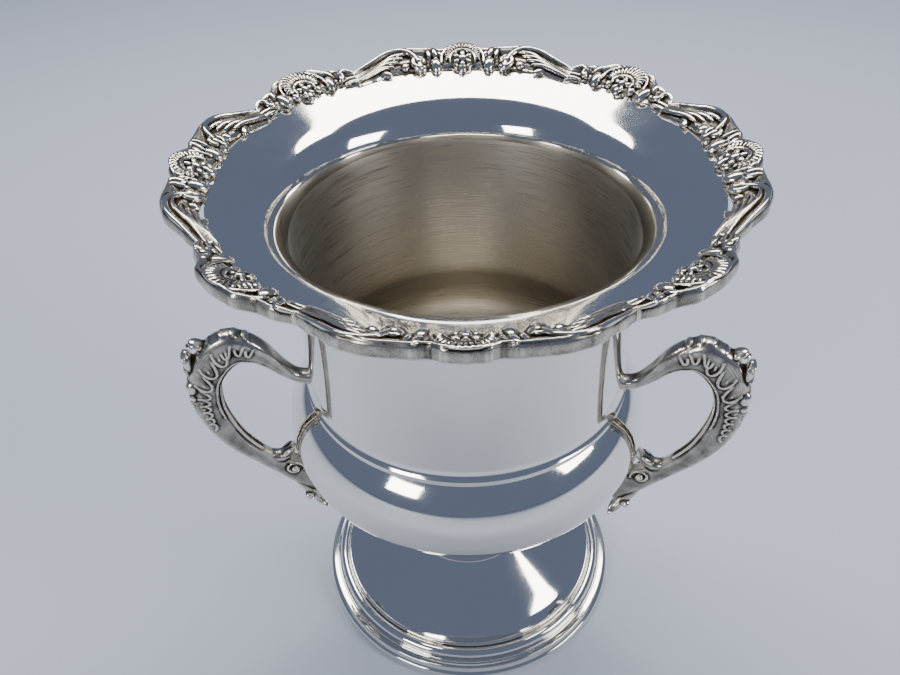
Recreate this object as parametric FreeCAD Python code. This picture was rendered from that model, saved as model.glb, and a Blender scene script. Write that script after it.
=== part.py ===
import FreeCAD, Part
import math
import os

os.makedirs("parts", exist_ok=True)

# Driving sizes, in millimetres, +Z up, foot on the floor at z = 0, front on -Y.
FOOT_R = 77.0            # widest radius of the base ring
SHEET = 1.4              # thickness of the spun sheet
BODY_R = 0.905 * FOOT_R  # outside radius of the straight cylinder
FLANGE_R = 1.24 * FOOT_R # edge of the flange, hidden under the border castings
RIM_SLOPE = 20.0         # rise of the flange, degrees

Z_DOME = 0.60 * FOOT_R   # top of the foot's dome
Z_BOWL = 0.68 * FOOT_R   # outside bottom of the bowl
Z_CREASE = 1.86 * FOOT_R # where the cylinder meets the shoulder
Z_LIP = 2.80 * FOOT_R    # where the cylinder starts to flare

HANDLE_AZ = {"handle_left": -80.0, "handle_right": 75.0}
CARTOUCHE_HALF = 29.5    # half the angle a long casting covers
SHELL_HALF = 45.0 - CARTOUCHE_HALF


def vec(r, z, y=0.0):
    """A point of a half section, given in foot radii."""
    return FreeCAD.Vector(r * FOOT_R, y, z * FOOT_R)


def save(shape, name):
    shape = shape.removeSplitter()
    if shape.ShapeType == "Compound" and len(shape.Solids) == 1:
        shape = shape.Solids[0]
    shape.exportStep("parts/" + name + ".step")
    print(name, len(shape.Solids), shape.isValid(), round(shape.Volume))


def edges_of(path):
    """Edges of a section: two points make a line, three make an arc through them."""
    edges = []
    for points in path:
        if len(points) == 2:
            edges.append(Part.LineSegment(points[0], points[1]).toShape())
        else:
            edges.append(Part.Arc(points[0], points[1], points[2]).toShape())
    return edges


def chain(points, arcs=()):
    """Line path through the points; an index in arcs is the middle of an arc."""
    path = []
    i = 0
    while i < len(points) - 1:
        if i + 1 in arcs:
            path.append((points[i], points[i + 1], points[i + 2]))
            i += 2
        else:
            path.append((points[i], points[i + 1]))
            i += 1
    return path


def turned(points, arcs=(), angle=360.0):
    """Solid of revolution about Z from a closed section."""
    closed = list(points) + [points[0]]
    wire = Part.Wire(edges_of(chain(closed, arcs)))
    face = Part.Face(wire)
    return face.revolve(FreeCAD.Vector(0, 0, 0), FreeCAD.Vector(0, 0, 1), angle)


def at_azimuth(shape, azimuth):
    """Turn a shape built along +X to an azimuth measured from the front towards +X."""
    shape = shape.copy()
    shape.rotate(FreeCAD.Vector(0, 0, 0), FreeCAD.Vector(0, 0, 1), azimuth - 90.0)
    return shape


def on_arc(centre, radius, degrees):
    angle = math.radians(degrees)
    return (centre[0] + radius * math.cos(angle), centre[1] + radius * math.sin(angle))


# Outside line of the bowl, from the middle of its floor out to the crease under the cylinder.
BOWL_CORNER = (0.76, 1.54)
SHOULDER = (0.649, 1.56)
SHOULDER_R = 0.411


def bowl_line(inset):
    """Section line of the bowl moved inwards by inset, all in foot radii."""
    floor_arc = 0.386
    start = (0.34, 0.68 + inset)
    mid = (0.34 + (floor_arc - inset) * math.sin(math.radians(28)),
           0.68 + floor_arc - (floor_arc - inset) * math.cos(math.radians(28)))
    end = (0.34 + (floor_arc - inset) * math.sin(math.radians(56)),
           0.68 + floor_arc - (floor_arc - inset) * math.cos(math.radians(56)))
    points = [start, mid, end]
    points.append(on_arc(BOWL_CORNER, 0.30 - inset, -34))
    points.append(on_arc(BOWL_CORNER, 0.30 - inset, -17))
    points.append(on_arc(BOWL_CORNER, 0.30 - inset, 0))
    points.append(on_arc(SHOULDER, SHOULDER_R - inset, 0))
    points.append(on_arc(SHOULDER, SHOULDER_R - inset, 23))
    return points


def bowl_shell():
    """Closed floor, cone, bulge and shoulder, spun in one piece."""
    t = SHEET / FOOT_R
    top_z = Z_CREASE / FOOT_R
    outer = bowl_line(0.0)
    inner = bowl_line(t)
    outer_top = (0.93, top_z)
    inner_top = (0.649 + math.sqrt((SHOULDER_R - t) ** 2 - (top_z - 1.56) ** 2), top_z)
    points = [(0.0, 0.68)] + outer + [outer_top, inner_top] + inner[::-1] + [(0.0, 0.68 + t)]
    arcs = (2, 5, 8, 11, 14, 17)
    return turned([vec(r, z) for r, z in points], arcs)


def body_shell():
    """Straight cylinder with a small foot fillet, a flared lip and a sloping flange."""
    t = SHEET / FOOT_R
    wall = BODY_R / FOOT_R
    lip = (wall - t + 0.25, Z_LIP / FOOT_R)
    rise = math.tan(math.radians(RIM_SLOPE))
    inner_knee = on_arc(lip, 0.25, 90 + RIM_SLOPE)
    outer_knee = on_arc(lip, 0.25 - t, 90 + RIM_SLOPE)
    edge = FLANGE_R / FOOT_R
    inner_edge = (edge, inner_knee[1] + (edge - inner_knee[0]) * rise)
    under = edge + t * math.sin(math.radians(RIM_SLOPE))
    outer_edge = (under, outer_knee[1] + (under - outer_knee[0]) * rise)
    crease = Z_CREASE / FOOT_R
    points = [
        (0.93, crease),
        (0.911, crease + 0.038),
        (wall, crease + 0.09),
        (wall, lip[1]),
        on_arc(lip, 0.25 - t, 145),
        outer_knee,
        outer_edge,
        inner_edge,
        inner_knee,
        on_arc(lip, 0.25, 145),
        (wall - t, lip[1]),
        (wall - t, crease + 0.09),
        (0.893, crease + 0.038),
        (0.905, crease),
    ]
    return turned([vec(r, z) for r, z in points], (1, 4, 9, 12))


def neck_collar():
    """Rounded ring soldered between the foot's dome and the bowl."""
    points = [
        (0.27, Z_DOME / FOOT_R),
        (0.31, Z_DOME / FOOT_R),
        (0.345, 0.612),
        (0.362, 0.628),
        (0.374, 0.642),
        (0.362, 0.656),
        (0.34, 0.668),
        (0.34, Z_BOWL / FOOT_R),
        (0.27, Z_BOWL / FOOT_R),
    ]
    return turned([vec(r, z) for r, z in points], (4,))


def foot_shell():
    """Domed foot spun from sheet, stepping down through its mouldings to a short skirt."""
    t = SHEET / FOOT_R
    outer = [
        (0.942, 0.008),
        (0.942, 0.112),
        (0.935, 0.120),
        (0.926, 0.118),
        (0.918, 0.122),
        (0.892, 0.168),
        (0.860, 0.168),
        (0.856, 0.180),
        (0.848, 0.190),
        (0.838, 0.188),
        (0.785, 0.202),
        (0.595, 0.328),
        (0.400, 0.460),
        (0.335, 0.522),
        (0.310, Z_DOME / FOOT_R),
    ]
    inner = [
        (0.310 - t, Z_DOME / FOOT_R),
        (0.317, 0.515),
        (0.388, 0.446),
        (0.585, 0.313),
        (0.778, 0.184),
        (0.838, 0.168),
        (0.850, 0.150),
        (0.890, 0.142),
        (0.918, 0.102),
        (0.942 - t, 0.096),
        (0.942 - t, 0.008),
    ]
    points = [vec(r, z) for r, z in outer + inner]
    return turned(points, (5, 13, 16, 22))


def foot_base_ring():
    """Drawn moulding soldered round the skirt; the only piece that touches the floor."""
    points = [
        (0.942, 0.0),
        (0.982, 0.0),
        (1.000, 0.040),
        (0.980, 0.066),
        (0.974, 0.070),
        (0.968, 0.098),
        (0.950, 0.101),
        (0.942, 0.101),
    ]
    return turned([vec(r, z) for r, z in points], (2,))


def flange_top(r):
    """Height of the flange's upper face at radius r, in foot radii."""
    wall = (BODY_R - SHEET) / FOOT_R
    knee = on_arc((wall + 0.25, Z_LIP / FOOT_R), 0.25, 90 + RIM_SLOPE)
    return knee[1] + (r - knee[0]) * math.tan(math.radians(RIM_SLOPE))


def border_band(half):
    """Plain cast band that sits on the flange and hooks over its edge."""
    edge = FLANGE_R / FOOT_R
    hook = edge + SHEET / FOOT_R * math.sin(math.radians(RIM_SLOPE))
    cos_slope = math.cos(math.radians(RIM_SLOPE))
    points = [
        (1.185, flange_top(1.185)),
        (edge, flange_top(edge)),
        (hook, flange_top(hook) - SHEET / FOOT_R / cos_slope),
        (1.300, 3.088),
        (1.430, 3.130),
        (1.430, 3.190),
        (1.415, 3.215),
        (1.380, 3.222),
        (1.300, 3.190),
        (1.220, 3.160),
        (1.185, 3.125),
    ]
    band = turned([vec(r, z) for r, z in points], (), 2 * half)
    band.rotate(FreeCAD.Vector(0, 0, 0), FreeCAD.Vector(0, 0, 1), -half)
    return band


def between(stations, angle):
    """Smooth value of a list of (angle, value) at an angle, the same on both sides."""
    angle = abs(angle)
    for (a0, v0), (a1, v1) in zip(stations, stations[1:]):
        if angle <= a1:
            s = (angle - a0) / (a1 - a0)
            s = s * s * (3 - 2 * s)
            return v0 + (v1 - v0) * s
    return stations[-1][1]


def plan_prism(inner, outer, half):
    """Upright block with the casting's outline in plan."""
    steps = int(half)
    angles = [half * (2.0 * i / (2 * steps) - 1.0) for i in range(2 * steps + 1)]

    def ring(stations):
        points = []
        for angle in angles:
            r = between(stations, angle) * FOOT_R
            a = math.radians(angle)
            points.append(FreeCAD.Vector(r * math.cos(a), r * math.sin(a), 3.0 * FOOT_R))
        return points

    edges = []
    for points in (ring(outer), ring(inner)[::-1]):
        curve = Part.BSplineCurve()
        curve.interpolate(points)
        edges.append(curve.toShape())
    ends = [edges[0].valueAt(edges[0].LastParameter), edges[1].valueAt(edges[1].FirstParameter)]
    edges.insert(1, Part.LineSegment(ends[0], ends[1]).toShape())
    ends = [edges[2].valueAt(edges[2].LastParameter), edges[0].valueAt(edges[0].FirstParameter)]
    edges.append(Part.LineSegment(ends[0], ends[1]).toShape())
    return Part.Face(Part.Wire(edges)).extrude(FreeCAD.Vector(0, 0, 0.4 * FOOT_R))


def bead(r, angle, z, radius):
    a = math.radians(angle)
    centre = FreeCAD.Vector(r * FOOT_R * math.cos(a), r * FOOT_R * math.sin(a), z * FOOT_R)
    return Part.makeSphere(radius * FOOT_R, centre)


def fan_rib(turn, length):
    """One tapered rib of a shell fan, fanning out from a point on the inner side."""
    rib = Part.makeCone(0.006 * FOOT_R, 0.019 * FOOT_R, length * FOOT_R,
                        FreeCAD.Vector(0, 0, 0), FreeCAD.Vector(1, 0, 0.12))
    rib.rotate(FreeCAD.Vector(0, 0, 0), FreeCAD.Vector(0, 0, 1), turn)
    rib.translate(FreeCAD.Vector(1.255 * FOOT_R, 0, 3.178 * FOOT_R))
    return rib


CARTOUCHE_OUT = [(0, 1.42), (4.5, 1.39), (8, 1.405), (16, 1.42), (22, 1.39), (CARTOUCHE_HALF, 1.325)]
CARTOUCHE_IN = [(0, 1.205), (3.5, 1.245), (7, 1.215), (9.5, 1.25), (12, 1.235), (15, 1.255),
                (20, 1.245), (CARTOUCHE_HALF, 1.205)]
SHELL_OUT = [(0, 1.41), (7, 1.395), (10, 1.345), (12.5, 1.35), (SHELL_HALF, 1.325)]
SHELL_IN = [(0, 1.205), (4, 1.25), (7.5, 1.215), (11, 1.25), (SHELL_HALF, 1.205)]


def border_cartouche():
    """Long casting: flower bud under a ribbed arch, with scrolls running to each end."""
    base = border_band(CARTOUCHE_HALF)
    extra = [bead(1.262, 0, 3.178, 0.036), bead(1.30, 2.2, 3.19, 0.028), bead(1.30, -2.2, 3.19, 0.028)]
    for side in (-1, 1):
        extra.append(bead(1.245, side * 7, 3.165, 0.026))
        extra.append(bead(1.262, side * 12, 3.175, 0.026))
    for turn in (-32, -16, 0, 16, 32):
        extra.append(fan_rib(turn, 0.15 - 0.00002 * turn * turn))
    ornament = extra[0].multiFuse(extra[1:])
    solid = base.fuse(ornament)
    return solid.common(plan_prism(CARTOUCHE_IN, CARTOUCHE_OUT, CARTOUCHE_HALF))


def border_shell():
    """Short casting between two long ones: a shell fan with a leaf each side."""
    base = border_band(SHELL_HALF)
    extra = [bead(1.25, 0, 3.165, 0.034), bead(1.25, 7.5, 3.165, 0.028), bead(1.25, -7.5, 3.165, 0.028)]
    for turn in (-40, -20, 0, 20, 40):
        extra.append(fan_rib(turn, 0.145 - 0.00002 * turn * turn))
    ornament = extra[0].multiFuse(extra[1:])
    solid = base.fuse(ornament)
    return solid.common(plan_prism(SHELL_IN, SHELL_OUT, SHELL_HALF))


def loft(stations):
    """Solid through rounded sections: (inner r, inner z, outer r, outer z, half width)."""
    rows = []
    for r0, z0, r1, z1, half in stations:
        centre = vec((r0 + r1) / 2, (z0 + z1) / 2)
        along = vec((r1 - r0) / 2, (z1 - z0) / 2)
        across = FreeCAD.Vector(0, half * FOOT_R, 0)
        row = []
        for k in range(16):
            a = math.radians(22.5 * k)
            squash = (abs(math.cos(a)) ** 2.6 + abs(math.sin(a)) ** 2.6) ** (-1 / 2.6)
            row.append(centre + along * (squash * math.cos(a)) + across * (squash * math.sin(a)))
        rows.append(row + [row[0]])
    surface = Part.BSplineSurface()
    surface.interpolate(rows)
    side = surface.toShape()
    first, last, _, _ = surface.bounds()
    caps = [Part.Face(Part.Wire(surface.uIso(u).toShape())) for u in (first, last)]
    shell = Part.makeShell([side] + caps)
    shell.sewShape(0.001)
    solid = Part.makeSolid(Part.Shell(shell.Faces))
    if solid.Volume < 0:
        solid.reverse()
    return solid


def handle(envelope):
    """Cast scroll handle: arm, thumb leaf, tail leaf and a cross row of three beads."""
    arm = loft([
        (0.870, 1.865, 0.860, 1.955, 0.062),
        (0.940, 1.872, 0.925, 1.960, 0.060),
        (1.005, 1.905, 0.975, 1.985, 0.060),
        (1.080, 1.985, 1.035, 2.070, 0.064),
        (1.150, 2.060, 1.105, 2.185, 0.074),
        (1.215, 2.093, 1.190, 2.265, 0.082),
        (1.275, 2.095, 1.305, 2.312, 0.090),
        (1.340, 2.040, 1.440, 2.245, 0.094),
        (1.390, 1.955, 1.545, 2.105, 0.090),
        (1.408, 1.850, 1.592, 1.930, 0.082),
        (1.408, 1.760, 1.588, 1.770, 0.066),
        (1.388, 1.660, 1.552, 1.640, 0.058),
        (1.352, 1.545, 1.490, 1.505, 0.056),
        (1.300, 1.445, 1.410, 1.385, 0.056),
        (1.235, 1.362, 1.310, 1.268, 0.058),
        (1.160, 1.290, 1.220, 1.170, 0.064),
        (1.060, 1.225, 1.125, 1.060, 0.074),
        (0.930, 1.190, 0.990, 0.950, 0.088),
        (0.760, 1.130, 0.800, 0.880, 0.100),
    ])
    thumb = loft([
        (1.235, 1.350, 1.290, 1.270, 0.050),
        (1.180, 1.322, 1.190, 1.240, 0.050),
        (1.135, 1.335, 1.115, 1.270, 0.046),
        (1.098, 1.360, 1.062, 1.315, 0.040),
        (1.066, 1.400, 1.030, 1.375, 0.030),
        (1.056, 1.440, 1.030, 1.430, 0.016),
    ])
    tail = loft([
        (1.035, 1.100, 1.120, 1.040, 0.060),
        (1.000, 1.000, 1.085, 0.965, 0.062),
        (0.975, 0.925, 1.050, 0.895, 0.060),
        (0.950, 0.855, 1.012, 0.825, 0.052),
        (0.938, 0.785, 0.980, 0.770, 0.036),
        (0.940, 0.728, 0.960, 0.722, 0.014),
    ])
    solid = arm.fuse(thumb).fuse(tail)
    for offset in (-0.055, 0.0, 0.055):
        centre = vec(1.035, 0.925)
        centre.y = offset * FOOT_R
        solid = solid.fuse(Part.makeSphere(0.038 * FOOT_R, centre))
    knob = Part.makeCylinder(0.030 * FOOT_R, 0.12 * FOOT_R, vec(1.520, 2.165, -0.06 * FOOT_R),
                             FreeCAD.Vector(0, 1, 0))
    solid = solid.fuse(knob)
    return solid.cut(envelope)


def body_envelope():
    """Everything inside the outer line of bowl and cylinder, to trim the handles against."""
    outer = bowl_line(0.0)
    wall = BODY_R / FOOT_R
    crease = Z_CREASE / FOOT_R
    points = [(0.0, 0.68)] + outer + [(0.93, crease), (0.911, crease + 0.038), (wall, crease + 0.09)]
    points += [(wall, Z_LIP / FOOT_R), (0.0, Z_LIP / FOOT_R)]
    return turned([vec(r, z) for r, z in points], (2, 5, 8, 10))


save(foot_base_ring(), "foot_base_ring")
save(foot_shell(), "foot_shell")
save(neck_collar(), "neck_collar")
save(bowl_shell(), "bowl_shell")
save(body_shell(), "body_shell")

cartouche = border_cartouche()
for place, azimuth in (("front", 0), ("right", 90), ("back", 180), ("left", 270)):
    save(at_azimuth(cartouche, azimuth), "border_cartouche_" + place)

shell = border_shell()
for place, azimuth in (("front_right", 45), ("back_right", 135), ("back_left", 225), ("front_left", 315)):
    save(at_azimuth(shell, azimuth), "border_shell_" + place)

casting = handle(body_envelope())
for name, azimuth in HANDLE_AZ.items():
    save(at_azimuth(casting, azimuth), name)
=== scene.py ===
import math

import bpy
from mathutils import Matrix, Vector


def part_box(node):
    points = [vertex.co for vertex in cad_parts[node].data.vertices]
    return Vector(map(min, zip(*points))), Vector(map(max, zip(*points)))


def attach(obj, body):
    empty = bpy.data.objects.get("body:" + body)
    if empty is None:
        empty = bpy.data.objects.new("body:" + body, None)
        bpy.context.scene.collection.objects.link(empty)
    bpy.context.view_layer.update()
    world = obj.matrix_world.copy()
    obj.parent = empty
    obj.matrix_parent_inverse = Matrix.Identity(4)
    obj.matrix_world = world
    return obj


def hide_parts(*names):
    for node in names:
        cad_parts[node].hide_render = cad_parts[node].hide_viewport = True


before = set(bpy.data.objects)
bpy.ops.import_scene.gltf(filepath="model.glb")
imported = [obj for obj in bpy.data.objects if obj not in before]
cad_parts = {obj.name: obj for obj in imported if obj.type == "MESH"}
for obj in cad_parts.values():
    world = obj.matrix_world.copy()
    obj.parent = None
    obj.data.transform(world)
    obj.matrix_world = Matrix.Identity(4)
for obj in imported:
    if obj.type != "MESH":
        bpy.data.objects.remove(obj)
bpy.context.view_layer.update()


# Foot base ring: a drawn silver-plated moulding, rounded at its widest, with a flat band above.
# It is soldered round the foot's skirt and is the only piece on the table.
foot_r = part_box("foot_base_ring")[1][0]
round_steps = 240


def arc_points(centre, radius, start, end, count):
    """Points on an arc of a half section, from one angle in degrees to another."""
    points = []
    for k in range(count + 1):
        angle = math.radians(start + (end - start) * k / count)
        points.append((centre[0] + radius * math.cos(angle), centre[1] + radius * math.sin(angle)))
    return points


def spin_section(name, outline):
    """Draw a closed half section point by point, in foot radii, and spin it round the axis."""
    bpy.ops.object.select_all(action="DESELECT")
    start = Vector((outline[0][0] * foot_r, 0.0, outline[0][1] * foot_r))
    bpy.ops.mesh.primitive_plane_add(size=0.001, location=start)
    piece = bpy.context.object
    piece.name = name
    bpy.ops.object.mode_set(mode="EDIT")
    bpy.ops.mesh.merge(type="CENTER")
    here = start
    for r, z in list(outline[1:]) + [outline[0]]:
        there = Vector((r * foot_r, 0.0, z * foot_r))
        bpy.ops.mesh.extrude_region_move(TRANSFORM_OT_translate={"value": there - here})
        here = there
    bpy.ops.mesh.select_all(action="SELECT")
    bpy.ops.mesh.remove_doubles(threshold=1e-6)
    bpy.ops.mesh.spin(steps=round_steps, angle=2 * math.pi, center=(0, 0, 0), axis=(0, 0, 1))
    bpy.ops.mesh.select_all(action="SELECT")
    bpy.ops.mesh.remove_doubles(threshold=1e-6)
    bpy.ops.mesh.normals_make_consistent(inside=False)
    bpy.ops.object.mode_set(mode="OBJECT")
    bpy.ops.object.transform_apply(location=True, rotation=True, scale=True)
    bpy.ops.object.shade_smooth_by_angle(angle=math.radians(38))
    return piece


def srgb(code):
    """Linear colour from an sRGB hex code."""
    values = []
    for k in (0, 2, 4):
        c = int(code[k:k + 2], 16) / 255
        values.append(c / 12.92 if c <= 0.04045 else ((c + 0.055) / 1.055) ** 2.4)
    return (*values, 1.0)


def new_material(name):
    """Empty node material with its shader."""
    material = bpy.data.materials.new(name)
    material.use_nodes = True
    return material, material.node_tree.nodes["Principled BSDF"]


def add_node(material, kind, settings=None, links=None):
    """Add a node, set its properties or inputs, and link other outputs into its inputs."""
    node = material.node_tree.nodes.new(kind)
    for key, value in (settings or {}).items():
        if isinstance(key, str) and hasattr(node, key):
            setattr(node, key, value)
        else:
            node.inputs[key].default_value = value
    for key, output in (links or {}).items():
        material.node_tree.links.new(output, node.inputs[key])
    return node


def polished_plate():
    """Silver electroplate, buffed to a mirror: warm white metal, with the faint hair scratches
    and slow waves that years of polishing leave."""
    material, shader = new_material("polished_silver_plate")
    shader.inputs["Base Color"].default_value = srgb("F1EDE4")
    shader.inputs["Metallic"].default_value = 1.0
    place = add_node(material, "ShaderNodeTexCoord")
    # Cloth scratches are about 0.1 mm wide and too fine to show, so they are drawn 0.4 mm wide.
    stretch = add_node(material, "ShaderNodeMapping", {"Scale": (2500, 300, 700)},
                       {"Vector": place.outputs["Object"]})
    scratch = add_node(material, "ShaderNodeTexNoise", {"Scale": 1.0, "Detail": 4.0, "Roughness": 0.7},
                       {"Vector": stretch.outputs["Vector"]})
    haze = add_node(material, "ShaderNodeTexNoise", {"Scale": 45.0, "Detail": 3.0},
                    {"Vector": place.outputs["Object"]})
    mix = add_node(material, "ShaderNodeMath", {"operation": "MULTIPLY"},
                   {0: scratch.outputs["Fac"], 1: haze.outputs["Fac"]})
    rough = add_node(material, "ShaderNodeMapRange",
                     {"From Min": 0.12, "From Max": 0.45, "To Min": 0.035, "To Max": 0.11},
                     {"Value": mix.outputs["Value"]})
    material.node_tree.links.new(rough.outputs["Result"], shader.inputs["Roughness"])
    # Spun sheet isn't perfectly round: waves of about 30 mm, a few hundredths of a millimetre high.
    wave = add_node(material, "ShaderNodeTexNoise", {"Scale": 32.0, "Detail": 1.0},
                    {"Vector": place.outputs["Object"]})
    bump = add_node(material, "ShaderNodeBump", {"Strength": 0.25, "Distance": 0.0004},
                    {"Height": wave.outputs["Fac"]})
    fine = add_node(material, "ShaderNodeBump", {"Strength": 0.03, "Distance": 0.00005},
                    {"Height": scratch.outputs["Fac"], "Normal": bump.outputs["Normal"]})
    material.node_tree.links.new(fine.outputs["Normal"], shader.inputs["Normal"])
    return material


def finish_piece(piece, node, slot, *materials):
    """Give a piece its materials and tie it to the frame."""
    piece.data.materials.clear()
    for material in materials:
        piece.data.materials.append(material)
    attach(piece, "root")
    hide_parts(node)


plate = polished_plate()

base_outline = [(0.942, 0.0), (0.980, 0.0)]
base_outline += arc_points((0.972, 0.036), 0.028, -60, 55, 12)
base_outline += [(0.9785, 0.062), (0.9775, 0.066), (0.976, 0.070), (0.974, 0.092)]
base_outline += arc_points((0.967, 0.092), 0.007, 0, 90, 5)
base_outline += [(0.950, 0.100), (0.942, 0.100)]
ring = spin_section("base_ring", base_outline)
finish_piece(ring, "foot_base_ring", "polished_plate", plate)


# Foot shell: silver-plated sheet spun over a former, from a narrow waist down a straight dome,
# through a flat step, a ridge, a broad roll and a groove to a short skirt inside the base ring.
sheet = 0.0182


def foot_outline():
    """Half section of the foot, outer line from the skirt up, then the inner line back down."""
    outer = [(0.942, 0.008), (0.942, 0.105)]
    outer += arc_points((0.934, 0.110), 0.008, 0, 130, 6)
    outer += [(0.925, 0.114), (0.921, 0.113)]
    outer += arc_points((0.886, 0.134), 0.037, -20, 150, 14)
    outer += arc_points((0.848, 0.172), 0.013, -30, 130, 8)
    outer += [(0.832, 0.184), (0.800, 0.194), (0.788, 0.200), (0.780, 0.206)]
    outer += [(0.700, 0.258), (0.595, 0.3275), (0.480, 0.4045), (0.420, 0.4455)]
    outer += arc_points((0.551, 0.612), 0.241, 231, 183, 12)
    inner = [(0.310 - sheet, 0.600), (0.317, 0.515), (0.388, 0.446), (0.585, 0.313)]
    inner += [(0.778, 0.184), (0.832, 0.166), (0.842, 0.155), (0.856, 0.140), (0.886, 0.150)]
    inner += [(0.914, 0.128), (0.922, 0.096), (0.942 - sheet, 0.090), (0.942 - sheet, 0.008)]
    return outer + inner


foot = spin_section("foot_dome", foot_outline())
finish_piece(foot, "foot_shell", "polished_plate", plate)


# Neck collar: a rounded ring, turned and plated, soldered between the foot and the bowl.
collar_outline = [(0.27, 0.60), (0.306, 0.60), (0.316, 0.604), (0.328, 0.609), (0.340, 0.612)]
collar_outline += arc_points((0.350, 0.637), 0.024, -90, 75, 14)
collar_outline += [(0.350, 0.665), (0.346, 0.672), (0.344, 0.680), (0.27, 0.680)]
collar = spin_section("collar", collar_outline)
finish_piece(collar, "neck_collar", "polished_plate", plate)


# Bowl: spun in one from silver-plated sheet: flat floor, straight cone, round bulge and a
# shoulder that draws in to the cylinder. Mirror outside, satin inside where ice and water sit.
def satin_inside():
    """Plate left as spun and brushed inside: fine rings round the axis, about 0.4 mm apart, a
    warm grey with a few small dark water stains, browner towards the bottom."""
    material, shader = new_material("satin_spun_plate")
    shader.inputs["Metallic"].default_value = 1.0
    place = add_node(material, "ShaderNodeTexCoord")
    split = add_node(material, "ShaderNodeSeparateXYZ", {}, {"Vector": place.outputs["Object"]})
    flat = add_node(material, "ShaderNodeCombineXYZ", {},
                    {"X": split.outputs["X"], "Y": split.outputs["Y"]})
    radius = add_node(material, "ShaderNodeVectorMath", {"operation": "LENGTH"},
                      {0: flat.outputs["Vector"]})
    turn = add_node(material, "ShaderNodeVectorMath", {"operation": "NORMALIZE"},
                    {0: flat.outputs["Vector"]})
    slow = add_node(material, "ShaderNodeVectorMath", {"operation": "SCALE", "Scale": 0.0012},
                    {0: turn.outputs["Vector"]})
    depth = add_node(material, "ShaderNodeMath", {"operation": "SUBTRACT"},
                     {0: split.outputs["Z"], 1: radius.outputs["Value"]})
    line = add_node(material, "ShaderNodeCombineXYZ", {}, {"Z": depth.outputs["Value"]})
    track = add_node(material, "ShaderNodeVectorMath", {"operation": "ADD"},
                     {0: slow.outputs["Vector"], 1: line.outputs["Vector"]})
    rings = add_node(material, "ShaderNodeTexNoise", {"Scale": 2600.0, "Detail": 3.0, "Roughness": 0.6},
                     {"Vector": track.outputs["Vector"]})
    cloud = add_node(material, "ShaderNodeTexNoise", {"Scale": 22.0, "Detail": 4.0},
                     {"Vector": place.outputs["Object"]})
    tone = add_node(material, "ShaderNodeMix", {"data_type": "RGBA", 6: srgb("CFCAC0"), 7: srgb("E4E1DB")},
                    {0: cloud.outputs["Fac"]})
    spots = add_node(material, "ShaderNodeTexNoise", {"Scale": 70.0, "Detail": 2.0, "Roughness": 0.4},
                     {"Vector": place.outputs["Object"]})
    stain = add_node(material, "ShaderNodeMapRange", {"From Min": 0.80, "From Max": 0.86},
                     {"Value": spots.outputs["Fac"]})
    colour = add_node(material, "ShaderNodeMix", {"data_type": "RGBA", 7: srgb("4A4236")},
                      {0: stain.outputs["Result"], 6: tone.outputs[2]})
    # Darker and browner towards the bottom.
    low = add_node(material, "ShaderNodeMapRange",
                   {"From Min": 0.075, "From Max": 0.135, "To Min": 0.8, "To Max": 0.0},
                   {"Value": split.outputs["Z"]})
    darker_bottom = add_node(material, "ShaderNodeMix", {"data_type": "RGBA", 7: srgb("8A7C62")},
                    {0: low.outputs["Result"], 6: colour.outputs[2]})
    rough = add_node(material, "ShaderNodeMapRange",
                     {"From Min": 0.3, "From Max": 0.7, "To Min": 0.22, "To Max": 0.42},
                     {"Value": rings.outputs["Fac"]})
    bump = add_node(material, "ShaderNodeBump", {"Strength": 0.08, "Distance": 0.0001},
                    {"Height": rings.outputs["Fac"]})
    # The rings scatter light along the wall and not round it, which draws highlights upright.
    shader.inputs["Anisotropic"].default_value = 0.7
    shader.inputs["Anisotropic Rotation"].default_value = 0.25
    tangent = add_node(material, "ShaderNodeTangent", {"direction_type": "RADIAL", "axis": "Z"})
    material.node_tree.links.new(tangent.outputs["Tangent"], shader.inputs["Tangent"])
    material.node_tree.links.new(darker_bottom.outputs[2], shader.inputs["Base Color"])
    material.node_tree.links.new(rough.outputs["Result"], shader.inputs["Roughness"])
    material.node_tree.links.new(bump.outputs["Normal"], shader.inputs["Normal"])
    return material


def line_inside(piece, is_inside):
    """Put the second material on the faces that the test picks out by centre and normal."""
    for face in piece.data.polygons:
        centre = face.center
        outward = Vector((centre.x, centre.y, 0.0)).normalized()
        if is_inside(centre, face.normal.dot(outward), face.normal.z):
            face.material_index = 1


bowl_floor = (0.34, 1.066)
bulge = (0.76, 1.54)
shoulder = (0.649, 1.56)
crease_z = 1.86


def bowl_side(inset):
    """The bowl's line from the floor's edge to the shoulder, moved inwards by inset."""
    line = arc_points(bowl_floor, 0.386 - inset, -90, -34, 12)
    line += arc_points(bulge, 0.300 - inset, -34, 0, 12)
    line += arc_points(shoulder, 0.411 - inset, 0, 45, 16)
    return line


def bowl_outline():
    """Half section of the bowl: outer line out and up, inner line back to the axis."""
    outer = [(0.0, 0.68), (0.20, 0.68)] + bowl_side(0.0)
    outer = [p for p in outer if p[1] < crease_z] + [(0.930, crease_z)]
    inner = [p for p in bowl_side(sheet) if p[1] < crease_z] + [(0.911, crease_z)]
    return outer + inner[::-1] + [(0.0, 0.68 + sheet)]


satin = satin_inside()
bowl = spin_section("bowl", bowl_outline())
finish_piece(bowl, "bowl_shell", "polished_plate", plate, satin)
line_inside(bowl, lambda centre, out, up: out < -0.05 or (up > 0.9 and centre.z < 0.71 * foot_r))


# Body: straight cylinder with a hollow fillet at its foot, a lip that flares through a quarter
# round and a flange that slopes up to the border. One spinning, satin inside to where it flares.
wall = 0.905
lip_z = 2.80
lip_curve = 0.25
rise = 20.0


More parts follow.
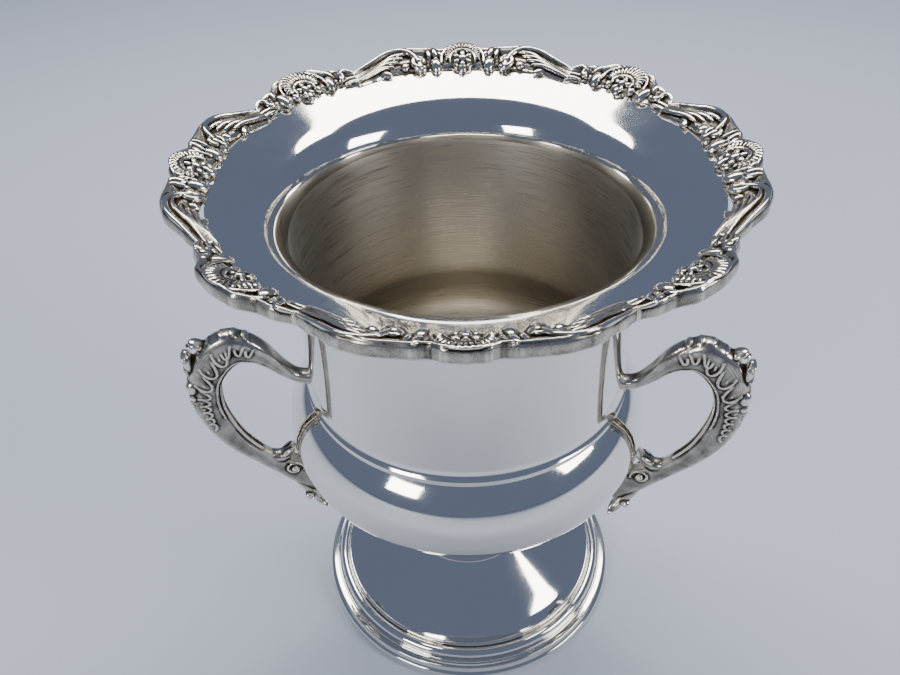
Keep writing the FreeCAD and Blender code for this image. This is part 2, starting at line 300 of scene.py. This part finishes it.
def body_outline():
    """Half section of the cylinder, lip and flange."""
    lip = (wall - sheet + lip_curve, lip_z)
    slope = math.tan(math.radians(rise))
    outer = [(0.930, crease_z)] + arc_points((0.985, 1.945), 0.080, 226, 180, 8)
    outer += [(wall, 1.97)]
    outer += [(wall, 1.97 + (lip_z - 1.97) * k / 4) for k in (1, 2, 3)]
    outer += arc_points(lip, lip_curve - sheet, 180, 90 + rise, 20)
    knee = outer[-1]
    outer += [(1.15, knee[1] + (1.15 - knee[0]) * slope), (1.244, knee[1] + (1.244 - knee[0]) * slope)]
    inner = arc_points(lip, lip_curve, 180, 90 + rise, 20)
    knee = inner[-1]
    inner += [(1.10, knee[1] + (1.10 - knee[0]) * slope), (1.238, knee[1] + (1.238 - knee[0]) * slope)]
    back = [(0.905, crease_z), (0.895, 1.89), (wall - sheet, 1.95), (wall - sheet, 2.4)]
    return outer + inner[::-1] + back[::-1]


body = spin_section("body", body_outline())
finish_piece(body, "body_shell", "polished_plate", plate, satin)
line_inside(body, lambda centre, out, up: out < -0.5 and centre.z < lip_z * foot_r + 0.002)


# Rim border: eight silver-plated castings soldered end to end on the flange, hooked over its edge.
# Long ones carry a bud under a ribbed arch and scrolls to both ends; short ones carry a shell fan.
# Each is modelled straight and flat, its forms melted into one skin, and then bent round the rim.
lay_r = 1.30
flange_knee = arc_points((wall - sheet + lip_curve, lip_z), lip_curve, 90 + rise, 90 + rise, 1)[0]


def tarnished_casting(name, bright, dark):
    """Cast silver plate: polished high spots, with black-brown oxide left in the recesses and a
    warmer, slightly rougher skin than the spun sheet."""
    material, shader = new_material(name)
    shader.inputs["Metallic"].default_value = 1.0
    place = add_node(material, "ShaderNodeTexCoord")
    hollow = add_node(material, "ShaderNodeAttribute", {"attribute_name": "hollow"})
    patch = add_node(material, "ShaderNodeTexNoise", {"Scale": 160.0, "Detail": 4.0},
                     {"Vector": place.outputs["Object"]})
    uneven = add_node(material, "ShaderNodeMapRange",
                      {"From Min": 0.3, "From Max": 0.7, "To Min": -0.02, "To Max": 0.02},
                      {"Value": patch.outputs["Fac"]})
    level = add_node(material, "ShaderNodeMath", {"operation": "ADD"},
                     {0: hollow.outputs["Fac"], 1: uneven.outputs["Result"]})
    clean = add_node(material, "ShaderNodeMapRange", {"From Min": 0.03, "From Max": 0.135},
                     {"Value": level.outputs["Value"]})
    colour = add_node(material, "ShaderNodeMix", {"data_type": "RGBA", 6: srgb(dark), 7: srgb(bright)},
                      {0: clean.outputs["Result"]})
    rough = add_node(material, "ShaderNodeMapRange", {"To Min": 0.45, "To Max": 0.07},
                     {"Value": clean.outputs["Result"]})
    # Casting grain is about 0.2 mm; it is drawn at 0.6 mm so that it shows.
    grain = add_node(material, "ShaderNodeTexNoise", {"Scale": 1600.0, "Detail": 2.0},
                     {"Vector": place.outputs["Object"]})
    bump = add_node(material, "ShaderNodeBump", {"Strength": 0.06, "Distance": 0.0001},
                    {"Height": grain.outputs["Fac"]})
    material.node_tree.links.new(colour.outputs[2], shader.inputs["Base Color"])
    material.node_tree.links.new(rough.outputs["Result"], shader.inputs["Roughness"])
    material.node_tree.links.new(bump.outputs["Normal"], shader.inputs["Normal"])
    return material


def between(stations, at):
    """Smooth value of a list of (place, value), the same on both sides of zero."""
    at = abs(at)
    for (a0, v0), (a1, v1) in zip(stations, stations[1:]):
        if at <= a1:
            s = (at - a0) / (a1 - a0)
            s = s * s * (3 - 2 * s)
            return v0 + (v1 - v0) * s
    return stations[-1][1]


def laid(angle, r, lift=0.0):
    """A place on the straight, flat casting for an angle along the rim and a radius."""
    return Vector((math.radians(angle) * lay_r * foot_r, r * foot_r, lift * foot_r))


def blank(name, half, inner, outer, height):
    """The casting's plain body: a finely divided block drawn out to its scalloped outline."""
    bpy.ops.object.select_all(action="DESELECT")
    bpy.ops.mesh.primitive_cube_add(size=2.0, location=(0, 0, 0))
    piece = bpy.context.object
    piece.name = name
    bpy.ops.object.mode_set(mode="EDIT")
    bpy.ops.mesh.subdivide(number_cuts=79)
    bpy.ops.object.mode_set(mode="OBJECT")
    section = [(0.0, 0.010), (0.10, 0.026), (0.30, 0.032), (0.55, 0.022), (0.80, 0.040),
               (0.92, 0.044), (1.0, 0.026)]
    for vertex in piece.data.vertices:
        angle = half * vertex.co.x
        across = (vertex.co.y + 1) / 2
        start = between(inner, angle)
        end = between(outer, angle)
        r = start + (end - start) * across
        top = between(section, across) * between(height, angle)
        under = -0.003 - 0.037 * min(1.0, max(0.0, (r - 1.245) / 0.02))
        lift = under + (top - under) * (vertex.co.z + 1) / 2
        r += 0.006 * (1 - vertex.co.z ** 2) * across ** 8
        vertex.co = laid(angle, r, lift)
    return piece


def pearl(place, length, width, height, turn=0.0):
    """A rounded drop or petal: a sphere drawn out along the direction it points in."""
    bpy.ops.mesh.primitive_uv_sphere_add(segments=20, ring_count=12, radius=foot_r, location=place)
    drop = bpy.context.object
    drop.scale = (width, length, height)
    drop.rotation_euler = (0, 0, -math.radians(turn))
    bpy.ops.object.transform_apply(location=True, rotation=True, scale=True)
    return drop


def wire(places, widths, thick):
    """A raised line: a smooth round bar through the places, with its own width at each."""
    curve = bpy.data.curves.new("wire", "CURVE")
    curve.dimensions = "3D"
    curve.bevel_depth = thick * foot_r
    curve.bevel_resolution = 4
    curve.use_fill_caps = True
    spline = curve.splines.new("NURBS")
    spline.points.add(len(places) - 1)
    for point, place, width in zip(spline.points, places, widths):
        point.co = (*place, 1.0)
        point.radius = width
    spline.order_u = 3
    spline.use_endpoint_u = True
    spline.resolution_u = 8
    bar = bpy.data.objects.new("wire", curve)
    bpy.context.collection.objects.link(bar)
    bpy.ops.object.select_all(action="DESELECT")
    bar.select_set(True)
    bpy.context.view_layer.objects.active = bar
    bpy.ops.object.convert(target="MESH")
    return bpy.context.object


def curl(angle, r, size, side, turns, open_end, lift, thick):
    """A scroll: a line that winds out of a ball and then runs off through the open end."""
    centre = laid(side * angle, r, lift)
    places = []
    count = int(turns * 10)
    for k in range(count + 1):
        s = k / count
        a = math.radians(-100 + 360 * turns * (1 - s))
        reach = size * (0.30 + 0.70 * s) * foot_r
        places.append(centre + Vector((side * reach * math.cos(a), reach * math.sin(a), 0)))
    places += [laid(side * a, b, lift + c) for a, b, c in open_end]
    widths = [0.7 + 0.5 * min(1.0, k / 8) for k in range(len(places))]
    widths[-1] = 0.35
    return [wire(places, widths, thick), pearl(centre + Vector((0, 0, 0.004 * foot_r)),
                                              size * 0.42, size * 0.42, 0.018)]


def fan(angle, r, near, far, spread, count, lift, width):
    """Ribs of a scallop shell that open out from one point."""
    ribs = []
    for k in range(count):
        turn = spread * (2 * k / (count - 1) - 1)
        reach = far * (1 - 0.22 * abs(turn / 90) ** 2)
        middle = (near + reach) / 2
        place = laid(angle, r, lift)
        place.x += middle * foot_r * math.sin(math.radians(turn))
        place.y += middle * foot_r * math.cos(math.radians(turn))
        ribs.append(pearl(place, (reach - near) / 2, width, 0.014, turn))
    return ribs


def rosette(angle, r, size, lift, petals):
    """A small flower: a bud with a ring of petals."""
    flower = [pearl(laid(angle, r, lift + 0.006), size * 0.5, size * 0.5, 0.016)]
    for k in range(petals):
        turn = 360 * k / petals
        place = laid(angle, r, lift)
        place.x += size * 0.78 * foot_r * math.sin(math.radians(turn))
        place.y += size * 0.78 * foot_r * math.cos(math.radians(turn))
        flower.append(pearl(place, size * 0.42, size * 0.32, 0.013, turn))
    return flower


def join_and_melt(piece, parts, voxel, rounds):
    """Join the forms and melt them into one closed skin with softened corners, as in a casting."""
    bpy.ops.object.select_all(action="DESELECT")
    for part in parts:
        part.select_set(True)
    piece.select_set(True)
    bpy.context.view_layer.objects.active = piece
    bpy.ops.object.join()
    melt = piece.modifiers.new("melt", "REMESH")
    melt.mode = "VOXEL"
    melt.voxel_size = voxel
    melt.use_smooth_shade = True
    bpy.ops.object.modifier_apply(modifier="melt")
    soften = piece.modifiers.new("soften", "SMOOTH")
    soften.factor = 0.5
    soften.iterations = rounds
    bpy.ops.object.modifier_apply(modifier="soften")
    bpy.ops.geometry.color_attribute_add(name="hollow", domain="POINT", data_type="FLOAT_COLOR",
                                         color=(1, 1, 1, 1))
    bpy.ops.paint.vertex_color_dirt(blur_strength=0.8, blur_iterations=2, normalize=False,
                                    dirt_angle=math.radians(79), clean_angle=math.radians(101))


def bend_round(piece):
    """Bend the straight casting round the rim and lay it on the flange's slope."""
    slope = math.tan(math.radians(rise))
    for vertex in piece.data.vertices:
        angle = vertex.co.x / (lay_r * foot_r)
        r = vertex.co.y
        z = flange_knee[1] * foot_r + (r - flange_knee[0] * foot_r) * slope + vertex.co.z
        vertex.co = Vector((r * math.sin(angle), -r * math.cos(angle), z))


def place_copies(piece, name, places, material):
    """Turn a copy of the casting to each of its places; each copy has its own mesh."""
    for k, (place, azimuth) in enumerate(places):
        copy = piece if k == len(places) - 1 else piece.copy()
        if copy is not piece:
            copy.data = piece.data.copy()
            bpy.context.collection.objects.link(copy)
        copy.name = name + "_" + place
        copy.data.transform(Matrix.Rotation(math.radians(azimuth), 4, "Z"))
        finish_piece(copy, "border_" + name + "_" + place, "cast_border", material)


border_metal = tarnished_casting("cast_silver_border", "F5ECDA", "33291C")
end_a = 29.5
end_b = 45.0 - end_a
neck = 1.312


def cartouche():
    """Long casting: bud and arch in the middle, drops each side, then a scroll and its ribs."""
    inner = [(0, 1.212), (3.4, 1.248), (5.2, 1.245), (7.2, 1.220), (9.4, 1.250), (11.2, 1.232),
             (13.6, 1.262), (20, 1.250), (25, 1.222), (end_a, 1.212)]
    outer = [(0, 1.412), (3.0, 1.407), (5.6, 1.378), (8.5, 1.395), (15.5, 1.413), (19, 1.405),
             (25, 1.345), (end_a, neck)]
    height = [(0, 1.0), (18, 1.0), (end_a, 0.62)]
    piece = blank("cartouche", end_a, inner, outer, height)
    parts = rosette(0, 1.292, 0.052, 0.034, 6)
    parts += [pearl(laid(0, 1.238, 0.022), 0.034, 0.028, 0.020)]
    for side in (-1, 1):
        parts.append(pearl(laid(side * 1.9, 1.250, 0.022), 0.026, 0.016, 0.016, side * 30))
    parts += fan(0, 1.285, 0.082, 0.132, 84, 17, 0.038, 0.0085)
    for reach, thick in ((0.078, 0.009), (0.130, 0.008)):
        arch = [laid(0, 1.285, 0.038) + Vector((math.sin(a), math.cos(a) * 0.98, 0)) * reach * foot_r
                for a in [math.radians(-100 + 20 * k) for k in range(11)]]
        parts.append(wire(arch, [0.6] + [1.0] * 9 + [0.6], thick))
    for side in (-1, 1):
        parts.append(pearl(laid(side * 7.2, 1.262, 0.026), 0.050, 0.034, 0.026, side * 4))
        parts.append(pearl(laid(side * 7.3, 1.345, 0.034), 0.046, 0.018, 0.018, side * 10))
        parts.append(pearl(laid(side * 8.9, 1.340, 0.034), 0.046, 0.014, 0.016, side * 2))
        parts.append(pearl(laid(side * 5.9, 1.330, 0.034), 0.030, 0.012, 0.014, side * 20))
        parts += curl(11.6, 1.285, 0.050, side, 1.15,
                      [(13.0, 1.352, 0.006), (16.0, 1.392, 0.004), (20.0, 1.382, 0.0), (24.5, 1.330, -0.006),
                       (end_a + 0.6, 1.300, -0.014)], 0.034, 0.013)
        parts.append(pearl(laid(side * 11.2, 1.246, 0.022), 0.026, 0.030, 0.018, side * 10))
        for k in range(4):
            lead = 14.2 + 1.5 * k
            drop = 0.029 * k
            places = [laid(side * lead, 1.358 - drop, 0.036), laid(side * (lead + 3), 1.358 - drop, 0.040),
                      laid(side * (lead + 6.5), 1.322 - 0.85 * drop, 0.036),
                      laid(side * (lead + 10), 1.284 - 0.6 * drop, 0.030),
                      laid(side * (end_a + 0.6), 1.268 - 0.5 * drop, 0.022)]
            parts.append(wire(places, [0.5, 1.0, 1.1, 0.9, 0.6], 0.0105))
        parts.append(pearl(laid(side * 15.6, 1.270, 0.024), 0.022, 0.028, 0.016, side * 60))
        parts.append(pearl(laid(side * 21.5, 1.243, 0.018), 0.020, 0.046, 0.014, side * -20))
    join_and_melt(piece, parts, 0.00036, 2)
    bend_round(piece)
    return piece


def shell():
    """Short casting: a scallop over a flower, a leaf each side and a small curl to each neck."""
    inner = [(0, 1.212), (4.0, 1.252), (5.4, 1.244), (7.6, 1.222), (10.2, 1.250), (end_b, 1.212)]
    outer = [(0, 1.408), (5.0, 1.399), (9.0, 1.350), (11.5, 1.345), (end_b, neck)]
    height = [(0, 1.0), (8, 0.95), (end_b, 0.62)]
    piece = blank("shell", end_b, inner, outer, height)
    parts = rosette(0, 1.268, 0.046, 0.032, 5)
    parts += [pearl(laid(0, 1.232, 0.022), 0.030, 0.026, 0.018)]
    parts += fan(0, 1.268, 0.066, 0.140, 78, 15, 0.038, 0.0100)
    for reach, thick in ((0.062, 0.009), (0.138, 0.008)):
        arch = [laid(0, 1.268, 0.038) + Vector((math.sin(a) * 1.05, math.cos(a) * 0.96, 0)) * reach * foot_r
                for a in [math.radians(-105 + 21 * k) for k in range(11)]]
        parts.append(wire(arch, [0.6] + [1.0] * 9 + [0.6], thick))
    for side in (-1, 1):
        parts.append(pearl(laid(side * 7.4, 1.262, 0.026), 0.050, 0.032, 0.024, side * 8))
        parts.append(pearl(laid(side * 3.6, 1.252, 0.024), 0.026, 0.018, 0.016, side * 35))
        parts.append(pearl(laid(side * 8.6, 1.320, 0.030), 0.036, 0.018, 0.016, side * -24))
        parts += curl(10.8, 1.292, 0.032, side, 1.0,
                      [(12.2, 1.330, 0.0), (14.0, 1.320, -0.004), (end_b + 0.6, 1.295, -0.012)], 0.030, 0.011)
        for k in range(2):
            places = [laid(side * (10.2 + k), 1.258 - 0.024 * k, 0.020),
                      laid(side * (12.8 + k), 1.268 - 0.026 * k, 0.026),
                      laid(side * (end_b + 0.6), 1.266 - 0.028 * k, 0.020)]
            parts.append(wire(places, [0.6, 1.0, 0.8], 0.0105))
    join_and_melt(piece, parts, 0.00036, 2)
    bend_round(piece)
    return piece


place_copies(cartouche(), "cartouche", [("right", 90), ("back", 180), ("left", 270), ("front", 0)],
             border_metal)
place_copies(shell(), "shell", [("front_right", 45), ("back_right", 135), ("back_left", 225),
                                ("front_left", 315)], border_metal)


# Handles: two identical silver-plated castings, each a scrolled arm with acanthus relief on its
# upper half, a smooth lower half, a thumb leaf against the bulge and a beaded tail leaf.
# Solder holds the upper end at the shoulder's crease and the lower root on the cone.
arm_line = [
    (0.885, 1.875, 0.872, 1.945, 0.050), (0.940, 1.880, 0.925, 1.950, 0.048),
    (1.005, 1.912, 0.978, 1.978, 0.048), (1.080, 1.988, 1.040, 2.062, 0.052),
    (1.150, 2.060, 1.108, 2.178, 0.060), (1.215, 2.093, 1.192, 2.258, 0.066),
    (1.275, 2.095, 1.305, 2.303, 0.070), (1.340, 2.040, 1.435, 2.238, 0.072),
    (1.390, 1.955, 1.530, 2.100, 0.070), (1.408, 1.850, 1.578, 1.930, 0.064),
    (1.408, 1.760, 1.572, 1.770, 0.056), (1.388, 1.660, 1.546, 1.640, 0.052),
    (1.352, 1.545, 1.488, 1.505, 0.050), (1.300, 1.445, 1.408, 1.385, 0.048),
    (1.235, 1.362, 1.308, 1.268, 0.048), (1.160, 1.290, 1.218, 1.170, 0.052),
    (1.060, 1.225, 1.122, 1.062, 0.060), (0.930, 1.190, 0.988, 0.955, 0.070),
    (0.800, 1.130, 0.845, 0.930, 0.080),
]


def along_line(stations, at):
    """Smooth values between stations, by a curve that passes through each of them."""
    at = min(max(at, 0.0), len(stations) - 1.0001)
    k = int(at)
    s = at - k
    last = len(stations) - 1
    near = [stations[min(max(k + step, 0), last)] for step in (-1, 0, 1, 2)]
    values = []
    for p0, p1, p2, p3 in zip(*near):
        values.append(0.5 * (2 * p1 + (p2 - p0) * s + (2 * p0 - 5 * p1 + 4 * p2 - p3) * s * s
                             + (3 * p1 - p0 - 3 * p2 + p3) * s ** 3))
    return values


def section_point(stations, at, turn, power):
    """Point on the rounded section of a limb: turn 0 is its outer edge, 180 its inner one."""
    r0, z0, r1, z1, half = along_line(stations, at)
    a = math.radians(turn)
    c = math.cos(a)
    s = math.sin(a)
    squash = (abs(c) ** power + abs(s) ** power) ** (-1 / power)
    middle = Vector(((r0 + r1) / 2, 0, (z0 + z1) / 2))
    reach = Vector(((r1 - r0) / 2, 0, (z1 - z0) / 2))
    return (middle + reach * squash * c + Vector((0, half * squash * s, 0))) * foot_r


def limb(name, stations, rings, power):
    """A tapering bar: a disc drawn up ring by ring, then each ring fitted to its section."""
    bpy.ops.object.select_all(action="DESELECT")
    bpy.ops.mesh.primitive_circle_add(vertices=48, radius=1.0, fill_type="NGON")
    piece = bpy.context.object
    piece.name = name
    bpy.ops.object.mode_set(mode="EDIT")
    for _ in range(rings):
        bpy.ops.mesh.extrude_region_move(TRANSFORM_OT_translate={"value": (0, 0, 1)})
    bpy.ops.mesh.select_all(action="SELECT")
    bpy.ops.object.mode_set(mode="OBJECT")
    for vertex in piece.data.vertices:
        turn = math.degrees(math.atan2(vertex.co.y, vertex.co.x))
        vertex.co = section_point(stations, vertex.co.z / rings * (len(stations) - 1), turn, power)
    bpy.ops.object.mode_set(mode="EDIT")
    bpy.ops.mesh.select_all(action="SELECT")
    bpy.ops.mesh.normals_make_consistent(inside=False)
    bpy.ops.object.mode_set(mode="OBJECT")
    return piece


def drop_at(r, z, length, width, height, lean=0.0, y=0.0):
    """A rounded form on the handle: lean turns its length from upright towards the outside."""
    bpy.ops.mesh.primitive_uv_sphere_add(segments=24, ring_count=14, radius=foot_r,
                                         location=Vector((r, y, z)) * foot_r)
    drop = bpy.context.object
    drop.scale = (height, width, length)
    drop.rotation_euler = (0, math.radians(lean), 0)
    bpy.ops.object.transform_apply(location=True, rotation=True, scale=True)
    return drop


def side_line(side, path, thick, widths=None):
    """Raised line on one side face of the arm: path gives (station, turn round the section)."""
    places = [section_point(arm_line, at, side * turn, 2.8) for at, turn in path]
    return wire(places, widths or [0.6] + [1.0] * (len(places) - 2) + [0.7], thick)


def acanthus(side):
    """Relief on one side: an inner border line, hooked lobes that spring from the outer edge,
    and a row of small scallops between them."""
    lines = [side_line(side, [(2.6 + 0.5 * k, 134) for k in range(17)], 0.0058)]
    lines.append(side_line(side, [(2.2 + 0.5 * k, 154) for k in range(24)], 0.0095))
    for at, lean in ((4.7, 0.25), (5.25, 0.3), (5.9, 0.35)):
        lines.append(side_line(side, [(at, 22), (at - 0.05, 52), (at + lean * 0.4, 82), (at + lean, 104),
                                      (at + lean + 0.22, 96), (at + lean + 0.20, 78)], 0.0062))
    for at, width in ((6.6, 0.42), (7.45, 0.45), (8.25, 0.42)):
        lines.append(side_line(side, [(at - width, 30), (at - width, 70), (at - 0.6 * width, 108),
                                      (at, 120), (at + 0.6 * width, 108), (at + 0.8 * width, 80),
                                      (at + 0.5 * width, 58)], 0.0065))
        lines.append(side_line(side, [(at - 0.2 * width, 40), (at - 0.1 * width, 72), (at + 0.2 * width, 92)],
                               0.0045))
    for k in range(6):
        at = 8.75 + 0.42 * k
        reach = 112 - 5 * k
        lines.append(side_line(side, [(at - 0.14, 36), (at - 0.16, 70), (at, reach), (at + 0.26, reach - 6),
                                      (at + 0.36, 66)], 0.0058))
        lines.append(side_line(side, [(at + 0.02, 50), (at + 0.10, 82), (at + 0.20, 74)], 0.0040))
    return lines


def edge_leaves():
    """Leaf tips and rolled knobs that stand out along the outer edge of the arm."""
    parts = [drop_at(1.462, 2.238, 0.052, 0.046, 0.022, 62), drop_at(1.498, 2.232, 0.030, 0.030, 0.014, 80)]
    parts += [drop_at(1.534, 2.130, 0.074, 0.056, 0.032, 3), drop_at(1.548, 2.172, 0.026, 0.054, 0.020, 0)]
    parts += [drop_at(1.552, 2.085, 0.030, 0.054, 0.020, 0)]
    for y in (-0.034, 0.034):
        parts.append(drop_at(1.544, 1.965, 0.050, 0.036, 0.042, -12, y))
        parts.append(drop_at(1.552, 1.895, 0.030, 0.030, 0.030, 0, y))
    parts += [drop_at(1.562, 1.830, 0.046, 0.044, 0.028, 5), drop_at(1.552, 1.755, 0.066, 0.036, 0.026, 8)]
    for at in (5.2, 5.7, 6.2, 6.7):
        centre = section_point(arm_line, at, 0, 2.8) / foot_r
        parts.append(drop_at(centre.x - 0.010, centre.z - 0.010, 0.026, 0.046, 0.010, 40 + 25 * (at - 5)))
    return parts


def lower_leaves():
    """The scrolled end of the arm, the thumb leaf, and the beaded tail leaf."""
    thumb_line = [
        (1.235, 1.350, 1.290, 1.270, 0.044), (1.180, 1.322, 1.190, 1.240, 0.046),
        (1.135, 1.335, 1.115, 1.270, 0.044), (1.098, 1.362, 1.062, 1.318, 0.038),
        (1.068, 1.402, 1.034, 1.377, 0.028), (1.056, 1.436, 1.034, 1.430, 0.012),
    ]
    tail_line = [
        (1.036, 1.100, 1.118, 1.040, 0.052), (1.002, 1.000, 1.082, 0.965, 0.054),
        (0.977, 0.925, 1.046, 0.898, 0.050), (0.952, 0.855, 1.006, 0.828, 0.044),
        (0.940, 0.785, 0.978, 0.772, 0.030), (0.942, 0.732, 0.958, 0.728, 0.010),
    ]
    parts = [limb("thumb", thumb_line, 24, 2.2), limb("tail", tail_line, 24, 2.2)]
    for side in (-1, 1):
        places = []
        for k in range(16):
            a = math.radians(200 - 28 * k)
            reach = 0.062 - 0.0030 * k
            places.append(Vector((1.095 + reach * math.cos(a), side * 0.060, 1.205 + reach * math.sin(a)))
                          * foot_r)
        parts.append(wire(places, [0.8] * 16, 0.0085))
        parts.append(drop_at(1.095, 1.205, 0.020, 0.020, 0.020, 0, side * 0.058))
        parts.append(drop_at(1.060, 1.075, 0.070, 0.016, 0.026, 35, side * 0.044))
        parts.append(drop_at(0.992, 0.835, 0.055, 0.014, 0.016, 25, side * 0.030))
        parts.append(drop_at(1.120, 1.330, 0.045, 0.014, 0.016, -50, side * 0.034))
    parts.append(drop_at(1.086, 1.030, 0.075, 0.016, 0.018, 34))
    parts.append(drop_at(0.998, 0.830, 0.070, 0.012, 0.014, 24))
    for y in (-0.050, 0.0, 0.050):
        parts.append(drop_at(1.044, 0.925, 0.029, 0.029, 0.029, 0, y))
    return parts


def body_radius(z):
    """Outside radius of the bowl and cylinder at a height, in foot radii."""
    line = bowl_side(0.0) + [(0.911, 1.898), (wall, 1.95), (wall, lip_z)]
    for (r0, z0), (r1, z1) in zip(line, line[1:]):
        if z0 <= z <= z1 and z1 > z0:
            return r0 + (r1 - r0) * (z - z0) / (z1 - z0)
    return line[0][0]


def handle():
    """One whole casting in the plane y = 0, with its roots ending just inside the sheet."""
    piece = limb("handle", arm_line, 180, 2.8)
    parts = acanthus(1) + acanthus(-1) + edge_leaves() + lower_leaves()
    join_and_melt(piece, parts, 0.00040, 4)
    for vertex in piece.data.vertices:
        r = math.hypot(vertex.co.x, vertex.co.y)
        least = (body_radius(vertex.co.z / foot_r) - 0.006) * foot_r
        if r < least:
            vertex.co.x *= least / r
            vertex.co.y *= least / r
    return piece


handle_metal = tarnished_casting("cast_silver_handle", "F6EEDD", "33291C")
left = handle()
right = left.copy()
right.data = left.data.copy()
bpy.context.collection.objects.link(right)
for piece, side, azimuth in ((left, "left", -80), (right, "right", 75)):
    piece.name = "scroll_handle_" + side
    piece.data.transform(Matrix.Rotation(math.radians(azimuth - 90), 4, "Z"))
    finish_piece(piece, "handle_" + side, "cast_handle", handle_metal)


# Floor: a plain pale sweep, lit by soft studio light. Neither is part of the bucket.
def studio():
    """Matt pale floor and an even blue-grey surround."""
    bpy.ops.object.select_all(action="DESELECT")
    bpy.ops.mesh.primitive_plane_add(size=8.0, location=(0, 0, 0))
    floor = bpy.context.object
    floor.name = "studio_floor"
    material, shader = new_material("matt_paper")
    shader.inputs["Base Color"].default_value = srgb("CDD3DF")
    shader.inputs["Roughness"].default_value = 0.85
    floor.data.materials.append(material)
    world = bpy.data.worlds.new("studio")
    bpy.context.scene.world = world
    world.use_nodes = True
    back = world.node_tree.nodes["Background"]
    back.inputs["Color"].default_value = srgb("7F8DAE")
    back.inputs["Strength"].default_value = 0.60


def soft_panel(name, place, aim, width, height, power):
    """Rectangular soft light that faces a point."""
    bpy.ops.object.light_add(type="AREA", location=place)
    panel = bpy.context.object
    panel.name = name
    panel.data.shape = "RECTANGLE"
    panel.data.size = width
    panel.data.size_y = height
    panel.data.energy = power
    panel.rotation_euler = (Vector(aim) - Vector(place)).to_track_quat("-Z", "Y").to_euler()


studio()
soft_panel("key", (0.0, 0.62, 1.30), (0, 0.05, 0.23), 1.5, 0.42, 20)
soft_panel("fill", (1.3, -0.5, 0.9), (0, 0, 0.15), 0.6, 0.5, 10)
soft_panel("front", (-0.9, -1.2, 0.8), (0, 0, 0.12), 0.5, 0.5, 9)


# Camera: a phone held at arm's length, looking down on the rim.
def camera():
    """Camera in front, looking steeply down, with the small tilts of a hand-held shot."""
    distance = 3.479
    height = 5.022
    swing = 1.49
    look_down = 40.53
    roll = -1.66
    bpy.ops.object.camera_add(location=(0, -distance * foot_r, height * foot_r))
    view = bpy.context.object
    turn = Matrix.Rotation(math.radians(swing), 4, "Z")
    turn = turn @ Matrix.Rotation(math.radians(90 - look_down), 4, "X")
    turn = turn @ Matrix.Rotation(math.radians(roll), 4, "Z")
    view.rotation_euler = turn.to_euler()
    view.data.sensor_width = 36.0
    view.data.lens = 32.0
    view.data.clip_start = 0.01
    bpy.context.scene.camera = view


camera()
